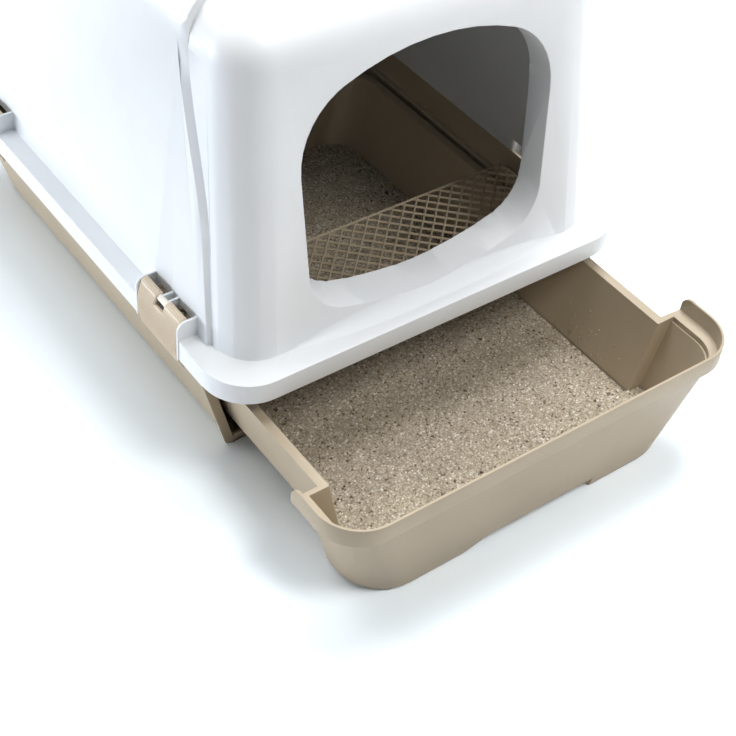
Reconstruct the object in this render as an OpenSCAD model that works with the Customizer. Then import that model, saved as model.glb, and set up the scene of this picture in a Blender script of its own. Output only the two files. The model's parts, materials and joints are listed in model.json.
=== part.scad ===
// Drawer litter box: a hooded cat toilet whose litter tray pulls out at the front.
// Millimetres. The origin is the centre of the base's footprint, on the floor.
// +Z is up, -Y is the front with the entrance, +X is on the right seen from the front.

/* [Overall] */
// Width of the hood's skirt, the widest part of the box
skirt_w = 400; // [380:1:440]
// Length of the hood's skirt, front to back
skirt_l = 520; // [500:1:580]
// Height of the hood's top above the floor
total_h = 400; // [380:1:460]
// Height of the hood's ledge above the floor
ledge_z = 130; // [126:0.5:150]
// How far the drawer stands open
drawer_open = 142; // [0:1:200]

/* [Hood] */
// Wall thickness of the hood
hood_wall = 2.8; // [2:0.1:4]
// Height of the skirt that hangs down from the ledge
skirt_h = 19; // [16:0.5:22]
// Corner radius of the skirt, seen from above
skirt_r = 40; // [30:1:60]
// Width of the ledge beside the hood's side walls
side_ledge = 16; // [14:0.5:20]
// Width of the ledge in front of the hood's front wall
front_ledge = 22; // [16:0.5:30]
// Width of the ledge behind the hood's back wall
back_ledge = 14; // [12:0.5:20]
// Corner radius of the hood's walls, seen from above
hood_r = 35; // [20:1:50]
// Radius between the hood's walls and its top
top_r = 38; // [20:1:50]
// Lean of the front wall, back per millimetre up
front_lean = 0.137; // [0:0.001:0.2]
// Lean of the back wall, forward per millimetre up
back_lean = 0.08; // [0:0.001:0.2]
// Lean of the side walls, inward per millimetre up
side_lean = 0.06; // [0:0.001:0.1]
// How much the front bezel is narrower than the side panels, each side
bezel_step = 4; // [2:0.5:5]
// Distance from the front wall's foot to the start of the side panels
bezel_depth = 36; // [20:1:60]
// Length of the slope between the bezel and the side panels
bezel_slope = 7; // [3:0.5:12]
// Radius of the sweep between the front wall and the ledge
sweep_r = 18; // [8:1:20]

/* [Entrance] */
// Width of the entrance, 95 mm above the ledge
entry_w = 229; // [180:1:260]
// Height of the entrance's sill above the ledge
entry_sill = 7.7; // [5:0.1:30]
// Height of the entrance's top above the ledge
entry_top = 218; // [160:1:230]
// Widening of the entrance to each side per millimetre up
entry_flare = 0.044; // [0:0.001:0.06]
// Radius of the sill's shallow curve
sill_r = 300; // [200:5:600]
// Radius of the entrance's lower corners
entry_corner_r = 42; // [20:1:60]
// Radius of the crown over the entrance
crown_r = 210; // [150:5:400]
// Radius of the entrance's upper corners
entry_top_r = 62; // [30:1:80]
// Depth of the rim that turns in around the entrance
reveal_depth = 23; // [10:1:30]
// Rise of the sill from the outer to the inner edge of the rim
sill_rise = 8; // [2:0.5:12]
// Narrowing of the rim to its inner edge, each side
reveal_taper = 2; // [0:0.5:4]

/* [Base] */
// Wall thickness of the base
base_wall = 3; // [2:0.1:4]
// Distance from the skirt's side to the base's foot, each side
foot_inset = 44; // [38:1:50]
// Flare of the base's side walls, outward per millimetre up
side_flare = 0.28; // [0.1:0.01:0.3]
// Flare of the base's back wall, outward per millimetre up
back_flare = 0.12; // [0.05:0.01:0.2]
// Distance from the skirt's front to the base's front frame
frame_inset = 66; // [55:1:80]
// Width of the flange around the base's mouth
frame_flange = 5.5; // [3:0.5:8]
// Thickness of that flange
frame_t = 3; // [2:0.5:5]
// Thickness of the base's floor
base_floor = 3; // [2:0.5:4]
// Height of the runners that carry the drawer
runner_h = 9.7; // [8:0.1:12]
// Width of a runner
runner_w = 12; // [6:1:20]
// Height of the shelf that carries the step grate
shelf_z = 100; // [98:0.5:108]
// Thickness of the shelf
shelf_t = 3; // [2:0.5:3]
// Width of the shelf
shelf_w = 5; // [3.5:0.5:5]
// Corner radius of the base's back, seen from above
base_r = 34; // [20:1:45]

/* [Drawer] */
// Thickness of the drawer's side walls at the floor
tray_wall = 4.4; // [3:0.1:5]
// Thickness of the drawer's floor, lip and ledges
tray_floor = 2.5; // [2:0.1:3.5]
// Gap between the drawer's sides and the base
tray_gap = 5.6; // [3:0.1:7]
// Gap between the drawer's back rim and the base, closed
back_gap = 3; // [1:0.5:6]
// Height of the drawer's side rims above the floor
rim_z = 95; // [85:0.5:95]
// Width of the drawer's flat rim
rim_w = 8; // [5:0.5:9]
// Height of the drawer's front lip above its side rims
lip_h = 15.5; // [8:0.5:15.5]
// How far the closed drawer stands in front of the skirt
lip_proud = 3; // [0:0.5:6]
// Corner radius of the lip
lip_r = 38; // [25:1:50]
// Corner radius of the drawer's front at the floor
nose_r = 40; // [30:1:60]
// Slope of the drawer's front, back per millimetre down
nose_slope = 0.12; // [0.05:0.01:0.2]
// Clearance under the drawer's floor, between its front feet
foot_h = 10; // [9.5:0.1:13]
// How far the arch under the drawer's front reaches left of the middle
arch_left = 45; // [20:1:60]
// How far the arch reaches right of the middle
arch_right = 66; // [20:1:75]
// Depth of litter in the drawer
litter_depth = 12; // [6:1:40]

/* [Step grate] */
// Height of the grate's top below the hood's ledge
grate_drop = 19; // [17:0.5:20]
// Length of the grate, front to back
grate_l = 114; // [80:1:150]
// Distance from the skirt's front to the grate's front edge
grate_inset = 30; // [28:1:40]
// Thickness of the grate's lattice
grate_t = 3; // [2:0.5:5]
// Width of the grate's plain border
grate_border = 7; // [4:0.5:12]
// Spacing of the lattice bars
lattice_pitch = 10.8; // [9:0.1:16]
// Width of a lattice bar
lattice_bar = 2.4; // [1.5:0.1:4]

/* [Latches] */
// Distance from each end of the skirt to the middle of a latch
latch_inset = 106; // [90:1:140]
// Length of a latch
latch_l = 58; // [40:1:70]
// Radius of a latch pin
pin_r = 2.75; // [2:0.05:3.5]
// Height of the pin above the ledge
pin_up = 13.5; // [12:0.5:16]
// Distance from the skirt's side to the pin
pin_in = 6.5; // [6:0.5:8]
// Wall around the pin
barrel_wall = 1.25; // [1:0.05:2]
// Thickness of a latch plate
plate_t = 2.4; // [1.8:0.1:3]
// Radius of a latch plate's outer face
plate_r = 64; // [50:1:90]
// Thickness of the guard ribs beside a latch
guard_t = 2.2; // [1.8:0.1:3]
// Width of the notch that shows the pin
notch_w = 13; // [10:0.5:20]
// Radial clearance on each hinge
hinge_clear = 0.05; // [0.02:0.01:0.1]
// Clearance between pieces that move past each other
play = 0.4; // [0.3:0.1:0.8]

/* [Top] */
// Length of the carry handle's grip
handle_l = 150; // [110:1:170]
// Length of the carry handle's arms
handle_arm = 46; // [36:1:60]
// Thickness of the carry handle
handle_t = 9; // [7:0.5:11]
// Width of the filter pad
filter_w = 110; // [80:1:130]
// Length of the filter pad
filter_l = 84; // [60:1:90]
// Thickness of the filter pad
filter_t = 8; // [5:0.5:10]

/* [Hidden] */

white = [0.95, 0.96, 0.96];
ivory = [0.93, 0.92, 0.87];
taupe = [0.71, 0.65, 0.57];
sand = [0.62, 0.57, 0.50];
charcoal = [0.16, 0.16, 0.16];
// Segments of a rounded corner inside a hull
hull_fn = 32;
// Thickness of the slices that a hull spans
slice = 0.01;
// How far a cut runs past the face it opens
past = 1;

// Hood levels and walls
skirt_front = -skirt_l / 2;
skirt_back = skirt_l / 2;
skirt_bottom = ledge_z - skirt_h;
ledge_under = ledge_z - hood_wall;
hood_half = skirt_w / 2 - side_ledge;
hood_front = skirt_front + front_ledge;
hood_back = skirt_back - back_ledge;
bezel_half = hood_half - bezel_step;
// Degrees between the slices that round the hood's walls into its top
top_step = 15;
// Height above the ledge at which the entrance's width is measured
entry_mid = 95;
// Degrees left out where two arcs of the entrance's outline meet
arc_gap = 6;
// How far the sweep stops short of the rounded corners, and how far it is sunk in
sweep_end = 3;
sweep_sink = 0.3;

// Base walls: the outside stands slightly wider than the hood's walls that it carries
seat_over = 1;
base_half = skirt_w / 2 - foot_inset;
upper_half = hood_half + seat_over;
upper_back = hood_back + seat_over;
turn_z = (upper_half - base_half) / side_flare;
shoulder_z = shelf_z - shelf_t;
base_front = skirt_front + frame_inset;
// The bar across the mouth stays just below the runners, so that the drawer clears it
mouth_sill = runner_h - 0.2;
// Distance of a runner from the middle
runner_x = 110;
function base_side(z) = min(base_half + side_flare * z, upper_half);
function base_rear(z) = upper_back - back_flare * max(0, turn_z - z);

// Drawer, in its closed place: a rear box, and a wider nose in front of the mouth
tray_under = foot_h;
tray_bed = tray_under + tray_floor;
tray_r = 30;
lip_top = rim_z + lip_h;
lip_front = skirt_front - lip_proud;
lip_half = skirt_w / 2 - 2.5;
// Where the box widens into the nose, and where the lip's ears end
jog_y = base_front - 3;
ear_y = base_front - 1;
// Width of the ledge around the nose
lip_band = 11;
function tray_side(z) = base_half - base_wall - tray_gap + side_flare * z;
function tray_rear(z) = base_rear(rim_z) - base_wall - back_gap - back_flare * (rim_z - z);
function nose_side(z) = lip_half - lip_band - side_flare * (rim_z - z);
function nose_front(z) = lip_front + tray_floor + nose_slope * (rim_z - z);
function nose_corner(z) = nose_r + (lip_r - lip_band / 2 - nose_r) * z / rim_z;
// Length of the arch's slope at its left end, and the arch's height
arch_ramp = 27;
arch_h = foot_h + 0.5;
// Radii round the drawer's bottom edges, at the box and at the nose
tray_edge = 16;
nose_edge = 3;
nose_round = 4;
band_h = tray_floor;
ear_r = 11;
foot_t = 4;
// Rise of the litter towards the middle, and how far inside its edge the rise ends
litter_crown = 6;
crown_inset = 45;

// Step grate
grate_top = ledge_z - grate_drop;
grate_gap = 2.7;
grate_half = upper_half - base_wall - grate_gap;
grate_front = skirt_front + grate_inset;
grate_rail = 2.2;

// Latches
latch_y = skirt_l / 2 - latch_inset;
pin_x = skirt_w / 2 - pin_in;
pin_z = ledge_z + pin_up;
barrel_r = pin_r + hinge_clear + barrel_wall;
// How far a pin's ends sit in the guards
pin_seat = 1.2;
// The opening in the hood behind a latch
pocket_half = latch_l / 2 + 2 * play;
pocket_in = 8;
slot_top = pin_z - 3;
// The lugs that back the pin in the notch
lug_t = 2;
lug_y = 4;
lug_h = 1.5;
// The guards: how far they run into the wall, and stay off the base
guard_sink = 1.5;
guard_off = 1.2;
guard_r = 8;
guard_out = skirt_w / 2 + 0.9;
guard_top = pin_z + 3.8;
// Centre of the plate's arc, measured outward and up from the pin, and the arc's ends
plate_u = 7.4 - plate_r;
plate_v = -20;
plate_top = asin(21 / plate_r);
plate_end = asin(-23.6 / plate_r);
// The toe's hook, measured from the pin
toe_top = -43.8;
toe_bottom = -46.5;
toe_in = -5.5;
toe_edge = 1;
toe_slope = 1.4;
toe_step = 0.5;
notch_under = 1.5;
// The rib on the base that the toe hooks under, and its gussets
catch_bottom = pin_z + toe_top + 0.3;
catch_t = 3.5;
catch_half = hood_half + 8;
catch_short = 2;
gusset_t = 2;
gusset_h = 14;
gusset_edge = 1;

// Mouth frame, locating rib and rounded edges
frame_r = 5;
frame_in = 0.75 * frame_r;
base_edge = 3;
rib_gap = 0.3;
rib_t = 2;
rib_h = 10;
rib_front = base_front + 4;
recess_r = 4;

// Carry handle and its recess
bail_r = 16;
handle_y = 10;
handle_z = total_h - 6.5;
stud_r = 3;
stud_l = 3.6;
stud_gap = 0.2;
recess_half = handle_l / 2 + 0.5;
recess_depth = handle_t + 6;
recess_front = handle_y - handle_arm - 14;
recess_back = handle_y + handle_t / 2 + 3;

// Filter compartment
lid_t = 3;
lid_edge = 7;
lid_half = filter_w / 2 + lid_edge;
filter_y = 104;
lid_front = filter_y - filter_l / 2 - lid_edge;
lid_back = filter_y + filter_l / 2 + lid_edge;
filter_floor = total_h - lid_t - 0.5 - filter_t;
seat_t = 2;
pad_r = 3;
hinge_r = 2.5;
lid_stud_r = 1.6;
lid_stud_l = 2.6;
lid_axis_y = lid_back - hinge_r;
lid_axis_z = total_h - hinge_r;
slot_n = 8;
slot_w = 4;
slot_pitch = 12;
lid_notch = 9;

// Points of an arc around c from angle a to angle b, in n steps
function arc(c, r, a, b, n) =
  [for (i = [0:n]) c + r * [cos(a + (b - a) * i / n), sin(a + (b - a) * i / n)]];

// A closed solid skinned over a list of rings with equal numbers of points, each ring
// running clockwise as seen from outside the solid's first end
module skin(rings) {
  n = len(rings[0]);
  m = len(rings);
  polyhedron(
    points = [for (ring = rings) each ring],
    faces = concat(
      [[for (i = [0:n - 1]) i]],
      [for (k = [0:m - 2], i = [0:n - 1])
        [k * n + i, (k + 1) * n + i, (k + 1) * n + (i + 1) % n]],
      [for (k = [0:m - 2], i = [0:n - 1])
        [k * n + i, (k + 1) * n + (i + 1) % n, k * n + (i + 1) % n]],
      [[for (i = [n - 1:-1:0]) (m - 1) * n + i]]));
}

// A rectangle from front to back with rounded corners, around x = 0
module rounded(half, front, back, r) {
  union() {
    translate([-half + r, front]) square([2 * (half - r), back - front]);
    translate([-half, front + r]) square([2 * half, back - front - 2 * r]);
    for (x = [-half + r, half - r], y = [front + r, back - r])
      translate([x, y]) circle(r);
  }
}

// A thin rounded slice at height z, for a hull to span
module rounded_slice(half, front, back, r, z) {
  translate([0, 0, z]) linear_extrude(slice) rounded(half, front, back, r, $fn = hull_fn);
}

// A rounded block between two heights
module rounded_block(half, front, back, r, z0, z1) {
  translate([0, 0, z0]) linear_extrude(z1 - z0) rounded(half, front, back, r, $fn = 64);
}

// A box between two corners
module box(low, high) {
  translate(low) cube(high - low);
}

// A profile in the XZ plane, extruded from y0 to y1
module along_y(y0, y1) {
  translate([0, y1, 0]) rotate([90, 0, 0]) linear_extrude(y1 - y0) children();
}

// A cylinder along Y between two values of y
module rod_y(x, z, r, y0, y1) {
  translate([x, y0, z]) rotate([-90, 0, 0]) cylinder(r = r, h = y1 - y0, $fn = 48);
}

// A cylinder along X between two values of x
module rod_x(y, z, r, x0, x1) {
  translate([x0, y, z]) rotate([0, 90, 0]) cylinder(r = r, h = x1 - x0, $fn = 48);
}

// One horizontal slice of the hood's outside, moved in by off and drawn in by inset
module hood_slice(half, back, off, inset, z) {
  up = z - ledge_z;
  rounded_slice(half - side_lean * up - off - inset,
                hood_front + front_lean * up + off + inset,
                back - back_lean * up - off - inset,
                hood_r - off - 0.5 * inset, z);
}

// The hood's smooth form down to z0, with its edges rounded into the top
module hood_form(half, back, top, off, z0) {
  r = top_r - off;
  hull() {
    hood_slice(half, back, off, 0, z0);
    for (a = [0:top_step:90])
      hood_slice(half, back, off, r * (1 - cos(a)), top - off - r * (1 - sin(a)) - slice);
  }
}

// The zone of the side panels, whose front edge leans back with the front wall
module panel_zone(off) {
  reach = 5;
  top = total_h - bezel_step - off;
  function edge(z, more) =
    let (x = bezel_half - side_lean * (z - ledge_z) - off,
         y = hood_front + bezel_depth + front_lean * (z - ledge_z) + 0.4 * off + more,
         far = skirt_l)
    [[x, y, z], [x + reach * bezel_step, y + reach * bezel_slope, z],
     [x + reach * bezel_step, far, z], [-x - reach * bezel_step, far, z],
     [-x - reach * bezel_step, y + reach * bezel_slope, z], [-x, y, z]];
  skin([edge(skirt_bottom, 0), edge(top, 0), edge(top + reach * bezel_step, reach * bezel_slope)]);
}

// The hood's form with its narrower front bezel, moved in by off
module hood_body(off, z0) {
  hood_form(bezel_half, hood_back - top_r, total_h - bezel_step, off, z0);
  intersection() {
    hood_form(hood_half, hood_back, total_h, off, z0);
    panel_zone(off);
  }
}

// The entrance's outline as points [x, z], grown by g, drawn in by taper and raised by rise
function entry_half(g, taper, rise) =
  let (k = entry_flare,
       s = sqrt(1 + k * k),
       mid = ledge_z + entry_mid,
       half = entry_w / 2 - taper,
       low = ledge_z + entry_sill + rise + sill_r,
       a = half + k * (low - mid) - entry_corner_r * s,
       d = sill_r - entry_corner_r,
       t = (a * k + sqrt(a * a * k * k - s * s * (a * a - d * d))) / (s * s),
       low_c = [a - k * t, low - t],
       high = ledge_z + entry_top - taper - crown_r,
       b = half + k * (high - mid) - entry_top_r * s,
       e = crown_r - entry_top_r,
       u = (-b * k + sqrt(b * b * k * k - s * s * (b * b - e * e))) / (s * s),
       high_c = [b + k * u, high + u],
       low_a = atan2(-t, low_c[0]),
       high_a = atan2(u, high_c[0]),
       side_a = -atan(k))
  concat(arc([0, low], sill_r + g, -90, low_a, 4),
         arc(low_c, entry_corner_r + g, low_a + arc_gap, side_a, 8),
         arc(high_c, entry_top_r + g, side_a, high_a - arc_gap, 7),
         arc([0, high], crown_r + g, high_a, 90, 4));

// The same outline all the way round, as a ring of points in space at depth y behind the wall
function entry_ring(g, taper, rise, y) =
  let (half = entry_half(g, taper, rise),
       n = len(half),
       all = concat(half, [for (i = [n - 2:-1:1]) [-half[i][0], half[i][1]]]))
  [for (p = all) [p[0], hood_front + front_lean * (p[1] - ledge_z) + y, p[1]]];

// The space that the entrance takes out of the front wall
module entry_cut() {
  skin([entry_ring(0, reveal_taper, sill_rise, reveal_depth + past),
        entry_ring(0, reveal_taper, sill_rise, reveal_depth),
        entry_ring(0, 0, 0, 0), entry_ring(0, 0, 0, -front_ledge * 2)]);
}

// The rim that turns in around the entrance
module entry_rim() {
  skin([entry_ring(hood_wall, reveal_taper, sill_rise, reveal_depth),
        entry_ring(hood_wall, 0, 0, hood_wall / 2)]);
}

// The sweep between the front wall and the ledge, which fades out towards the corners.
// It is sunk a little into both, so that it meets neither along a tangent.
module front_sweep() {
  reach = bezel_half - hood_r - sweep_end;
  steps = 8;
  end_r = 0.6 * sweep_sink;
  low = ledge_z - hood_wall / 2;
  function ring(x) =
    let (r = end_r + (sweep_r - end_r) * (1 - pow(abs(x) / reach, 3)),
         y = hood_front + front_lean * r + sweep_sink,
         z = ledge_z - sweep_sink)
    [for (p = concat([[y + hood_wall / 2, z + r], [hood_front + hood_wall / 2, low], [y - r, low]],
                     arc([y - r, z + r], r, -90, 0, 7)))
      [x, p[0], p[1]]];
  skin([for (i = [steps:-1:-steps]) ring(reach * i / steps)]);
}

// Copies a latch's piece, drawn for the front right corner, to one corner
module at_latch(side, end) {
  translate([0, end * latch_y, 0]) mirror([side < 0 ? 1 : 0, 0, 0]) children();
}

// The opening in the skirt and the ledge that a latch hangs in
module latch_pocket() {
  box([hood_half - pocket_in, -pocket_half, skirt_bottom - past],
      [skirt_w / 2 + past, pocket_half, slot_top]);
}

// The pair of ribs that guard a latch, and the two lugs that back its pin
module latch_mount() {
  inner = hood_half - guard_sink;
  under = upper_half + guard_off;
  for (s = [-1, 1])
    difference() {
      along_y(s * pocket_half - (s < 0 ? guard_t : 0), s * pocket_half + (s > 0 ? guard_t : 0))
        polygon(concat([[inner, guard_top], [inner, ledge_under], [under, ledge_under],
                        [under, skirt_bottom], [guard_out, skirt_bottom]],
                       arc([guard_out - guard_r, guard_top - guard_r], guard_r, 0, 90, 8)));
      rod_y(pin_x, pin_z, pin_r + hinge_clear, -pocket_half - pin_seat, pocket_half + pin_seat);
    }
  for (s = [-1, 1])
    difference() {
      box([inner, s * lug_y - lug_t / 2, slot_top - lug_h],
          [pin_x, s * lug_y + lug_t / 2, pin_z + pin_r]);
      rod_y(pin_x, pin_z, pin_r + hinge_clear, -2 * lug_y, 2 * lug_y);
    }
}

// A recess that hangs under the hood's top: its walls, or with cut the space in it
module top_recess(half, front, back, floor_z, cut) {
  grow = cut ? 0 : hood_wall;
  rounded_block(half + grow, front - grow, back + grow, recess_r + grow,
                floor_z - grow, cut ? total_h + past : total_h - hood_wall / 2);
}

// The handle's recess, with a socket for a stud at each side
module handle_recess(cut) {
  top_recess(recess_half, recess_front, recess_back, total_h - recess_depth, cut);
  for (s = [-1, 1]) {
    near = s * (recess_half - past);
    far = s * (handle_l / 2 + stud_l + (cut ? stud_gap : hood_wall));
    rod_x(handle_y, handle_z, stud_r + (cut ? hinge_clear : hood_wall), min(near, far), max(near, far));
  }
}

// The filter's compartment: a shallow seat for the lid over a deeper one for the pad
module filter_recess(cut) {
  seat_z = total_h - lid_t - play;
  top_recess(lid_half + play, lid_front - play, lid_back + play, seat_z - (cut ? 0 : seat_t), cut);
  top_recess(filter_w / 2 + play, filter_y - filter_l / 2 - play, filter_y + filter_l / 2 + play,
             filter_floor, cut);
  channel = hinge_r + play;
  near = lid_half + play;
  if (cut)
    box([-near, lid_axis_y - channel, lid_axis_z - channel], [near, lid_back + play, total_h + past]);
  else
    box([-near - lid_stud_l - hood_wall, lid_axis_y - channel - hood_wall, lid_axis_z - channel - hood_wall],
        [near + lid_stud_l + hood_wall, lid_back + play + hood_wall, total_h - hood_wall / 2]);
  if (cut) {
    bore = near + lid_stud_l;
    rod_x(lid_axis_y, lid_axis_z, lid_stud_r + hinge_clear, -bore, bore);
    for (i = [0:slot_n - 1])
      translate([(i - (slot_n - 1) / 2) * slot_pitch, filter_y, filter_floor - 2 * hood_wall])
        linear_extrude(3 * hood_wall) slot_shape(filter_l - 2 * lid_edge);
  }
}

// A slot with round ends, l long overall
module slot_shape(l) {
  square([slot_w, l - slot_w], center = true);
  for (y = [-1, 1]) translate([0, y * (l - slot_w) / 2]) circle(d = slot_w, $fn = 24);
}

// The hood's walls and its skirt, open below
module hood_walls() {
  difference() {
    union() {
      rounded_block(skirt_w / 2, skirt_front, skirt_back, skirt_r, skirt_bottom, ledge_z);
      union() {
        hood_body(0, ledge_under);
        front_sweep();
      }
    }
    rounded_block(skirt_w / 2 - hood_wall, skirt_front + hood_wall, skirt_back - hood_wall,
                  skirt_r - hood_wall, skirt_bottom - past, ledge_under);
    hood_body(hood_wall, skirt_bottom);
  }
}

// The rib under the ledge that locates the hood around the base
module locating_rib() {
  difference() {
    rounded_block(upper_half + rib_gap + rib_t, rib_front, upper_back + rib_gap + rib_t,
                  base_r + rib_gap + rib_t, ledge_under - rib_h, ledge_under + past);
    rounded_block(upper_half + rib_gap, rib_front - 2 * base_r, upper_back + rib_gap,
                  base_r + rib_gap, ledge_under - rib_h - past, ledge_under + 2 * past);
    box([-skirt_w, base_front, 0], [skirt_w, base_front + 2 * base_r, ledge_z + past]);
  }
}

// The hood in one piece, with its entrance, its recesses and its latch mounts
module hood_shell() color(white) {
  difference() {
    union() {
      hood_walls();
      locating_rib();
      entry_rim();
      handle_recess(false);
      filter_recess(false);
    }
    entry_cut();
    handle_recess(true);
    filter_recess(true);
    for (side = [-1, 1], end = [-1, 1]) at_latch(side, end) latch_pocket();
  }
  for (side = [-1, 1], end = [-1, 1]) at_latch(side, end) latch_mount();
}

// One horizontal slice of the base, grown by g and drawn in by inset
module base_slice(g, inset, z) {
  rounded_slice(base_side(z) + g - inset, base_front - 2 * base_r, base_rear(z) + g - inset,
                base_r + g - inset, z);
}

// The base: an open tub with a mouth at the front, runners, and a shelf for the step
module base_tub() color(taupe) {
  difference() {
    union() {
      intersection() {
        hull() {
          base_slice(0, base_edge, 0);
          base_slice(0, 0, base_edge);
          base_slice(0, 0, turn_z);
          base_slice(0, 0, ledge_under - slice);
        }
        box([-skirt_w, base_front, 0], [skirt_w, skirt_l, ledge_z]);
      }
      mouth_frame();
      for (side = [-1, 1], end = [-1, 1]) at_latch(side, end) latch_catch();
    }
    hull() {
      base_slice(-base_wall, 0, base_floor);
      base_slice(-base_wall, 0, shoulder_z - slice);
    }
    hull() {
      base_slice(-base_wall, 0, shelf_z);
      base_slice(-base_wall, 0, turn_z);
      base_slice(-base_wall, 0, ledge_z);
    }
    rounded_block(base_side(shelf_z) - base_wall - shelf_w, base_front - 2 * base_r,
                  base_rear(shelf_z) - base_wall - shelf_w, base_r - shelf_w,
                  shoulder_z - past, shelf_z + past);
  }
  mouth_bar();
  for (s = [-1, 1])
    box([s * runner_x - runner_w / 2, base_front, base_floor - past],
        [s * runner_x + runner_w / 2, base_rear(0) - base_r, runner_h]);
}

// The flange around the mouth
module mouth_frame() {
  w = base_half + frame_flange;
  t = upper_half + frame_flange;
  along_y(base_front, base_front + frame_t)
    polygon(concat([[w - frame_r, 0]], arc([w - frame_in, frame_r], frame_r, -90, -16, 4),
                   [[t, turn_z], [t, ledge_under], [-t, ledge_under], [-t, turn_z]],
                   [for (p = arc([w - frame_in, frame_r], frame_r, -16, -90, 4)) [-p[0], p[1]]],
                   [[-w + frame_r, 0]]));
}

// The bar across the bottom of the mouth
module mouth_bar() {
  box([-base_half + base_wall / 2, base_front, 0],
      [base_half - base_wall / 2, base_front + frame_t, mouth_sill]);
}

// The rib that a latch's toe hooks under, with its two gussets
module latch_catch() {
  inner = upper_half - base_wall / 2;
  half = latch_l / 2 - catch_short;
  box([inner, -half, catch_bottom], [catch_half, half, catch_bottom + catch_t]);
  for (s = [-1, 1])
    along_y(s * half * 0.8 - gusset_t / 2, s * half * 0.8 + gusset_t / 2)
      polygon([[inner, catch_bottom], [inner, catch_bottom + gusset_h],
               [upper_half + gusset_edge, catch_bottom + gusset_h],
               [catch_half - gusset_edge, catch_bottom + catch_t]]);
}

// One horizontal slice of the drawer's rear box, inside it with in = true
module tray_slice(inside, inset, z) {
  f = (z - tray_bed) / (rim_z - tray_bed);
  wall = inside ? tray_wall + (rim_w - tray_wall) * f : 0;
  rounded_slice(tray_side(z) - wall - inset, jog_y - tray_r, tray_rear(z) - wall - inset,
                tray_r - 0.5 * wall - 0.5 * inset, z);
}

// One horizontal slice of the drawer's nose, grown by g, a degrees round its bottom edge
module nose_slice(g, a, z) {
  turn = 1 - cos(a);
  rounded_slice(nose_side(z) + g - nose_round * turn, nose_front(z) - g + nose_edge * turn,
                jog_y + nose_r, nose_corner(z) + g, z);
}

// The outside of the drawer's rear box, with a rounded bottom edge
module tray_form() {
  hull() {
    for (a = [0:30:90])
      tray_slice(false, tray_edge * (1 - cos(a)), tray_under + tray_edge * (1 - sin(a)));
    tray_slice(false, 0, rim_z - slice);
  }
}

// The same for the nose, grown by g, from z0 up
module nose_form(g, z0) {
  hull() {
    for (a = [0:30:90]) nose_slice(g, a, z0 + nose_round * (1 - sin(a)));
    nose_slice(g, 0, rim_z - slice);
  }
}

// The space inside the rear box
module tray_cavity() {
  hull() {
    for (a = [0, 45, 90])
      tray_slice(true, tray_edge / 2 * (1 - cos(a)), tray_bed + tray_edge / 2 * (1 - sin(a)));
    tray_slice(true, 0, rim_z + past);
  }
}

// The rim around the nose: a ledge, and the lip that stands on it
module nose_lip() {
  difference() {
    rounded_block(lip_half, lip_front, ear_y + lip_r, lip_r, rim_z - band_h, lip_top);
    rounded_block(lip_half - tray_floor, lip_front + tray_floor, ear_y + 2 * lip_r, lip_r - tray_floor,
                  rim_z, lip_top + past);
    rounded_block(lip_half - tray_floor, lip_front + tray_floor, ear_y + 2 * lip_r, lip_r - tray_floor,
                  rim_z - band_h - past, rim_z - tray_floor);
    box([-skirt_w, ear_y, 0], [skirt_w, skirt_l, total_h]);
    difference() {
      box([-skirt_w, ear_y - ear_r, lip_top - ear_r], [skirt_w, ear_y + past, lip_top + past]);
      rod_x(ear_y - ear_r, lip_top - ear_r, ear_r, -skirt_w, skirt_w);
    }
  }
}

// The drawer in one piece, drawn where it stands open
module drawer_tray() color(taupe) {
  translate([0, -drawer_open, 0])
    difference() {
      union() {
        intersection() {
          tray_form();
          box([-skirt_w, jog_y - past, 0], [skirt_w, skirt_l, total_h]);
        }
        intersection() {
          nose_form(0, 0);
          box([-skirt_w, -skirt_l, 0], [skirt_w, jog_y, total_h]);
        }
        nose_lip();
      }
      tray_cavity();
      intersection() {
        nose_form(-tray_floor, tray_bed);
        box([-skirt_w, -skirt_l, 0], [skirt_w, jog_y - tray_floor, total_h]);
      }
      translate([0, 0, rim_z - 2 * tray_floor])
        linear_extrude(2 * tray_floor + past)
          intersection() {
            rounded(nose_side(rim_z) - tray_floor, nose_front(rim_z) + tray_floor, jog_y + nose_r,
                    nose_corner(rim_z) - tray_floor, $fn = 64);
            translate([-skirt_w, -skirt_l]) square([2 * skirt_w, skirt_l + jog_y - tray_floor]);
          }
      nose_underside();
      foot_arch();
    }
}

// The hollow under the nose, behind its feet
module nose_underside() {
  rounded_block(nose_side(0) - nose_round - foot_t, nose_front(0) + nose_edge + foot_t, jog_y + nose_r,
                nose_r - foot_t, -past, tray_under);
}

// The arch between the feet, steep at its right end and sloping at its left
module foot_arch() {
  along_y(-skirt_l, jog_y + past)
    polygon([[-arch_left - arch_ramp, -past], [-arch_left - arch_ramp, 0], [-arch_left, arch_h],
             [arch_right, arch_h], [arch_right, -past]]);
}

// The litter, which lies in the drawer as a low crowned bed
module litter_bed() color(sand) {
  top = tray_bed + litter_depth;
  translate([0, -drawer_open, 0]) {
    intersection() {
      hull() {
        tray_slice(true, tray_edge / 2 + play, tray_bed);
        tray_slice(true, play, top);
        tray_slice(true, crown_inset, top + litter_crown);
      }
      box([-skirt_w, jog_y - tray_floor - 2 * litter_crown, 0], [skirt_w, skirt_l, total_h]);
    }
    intersection() {
      hull() {
        nose_slice(-tray_floor - play, 90, tray_bed);
        nose_slice(-tray_floor - play, 0, top);
        nose_slice(-tray_floor - crown_inset, 0, top + litter_crown);
      }
      box([-skirt_w, -skirt_l, 0], [skirt_w, jog_y - tray_floor - play, total_h]);
    }
  }
}

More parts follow.
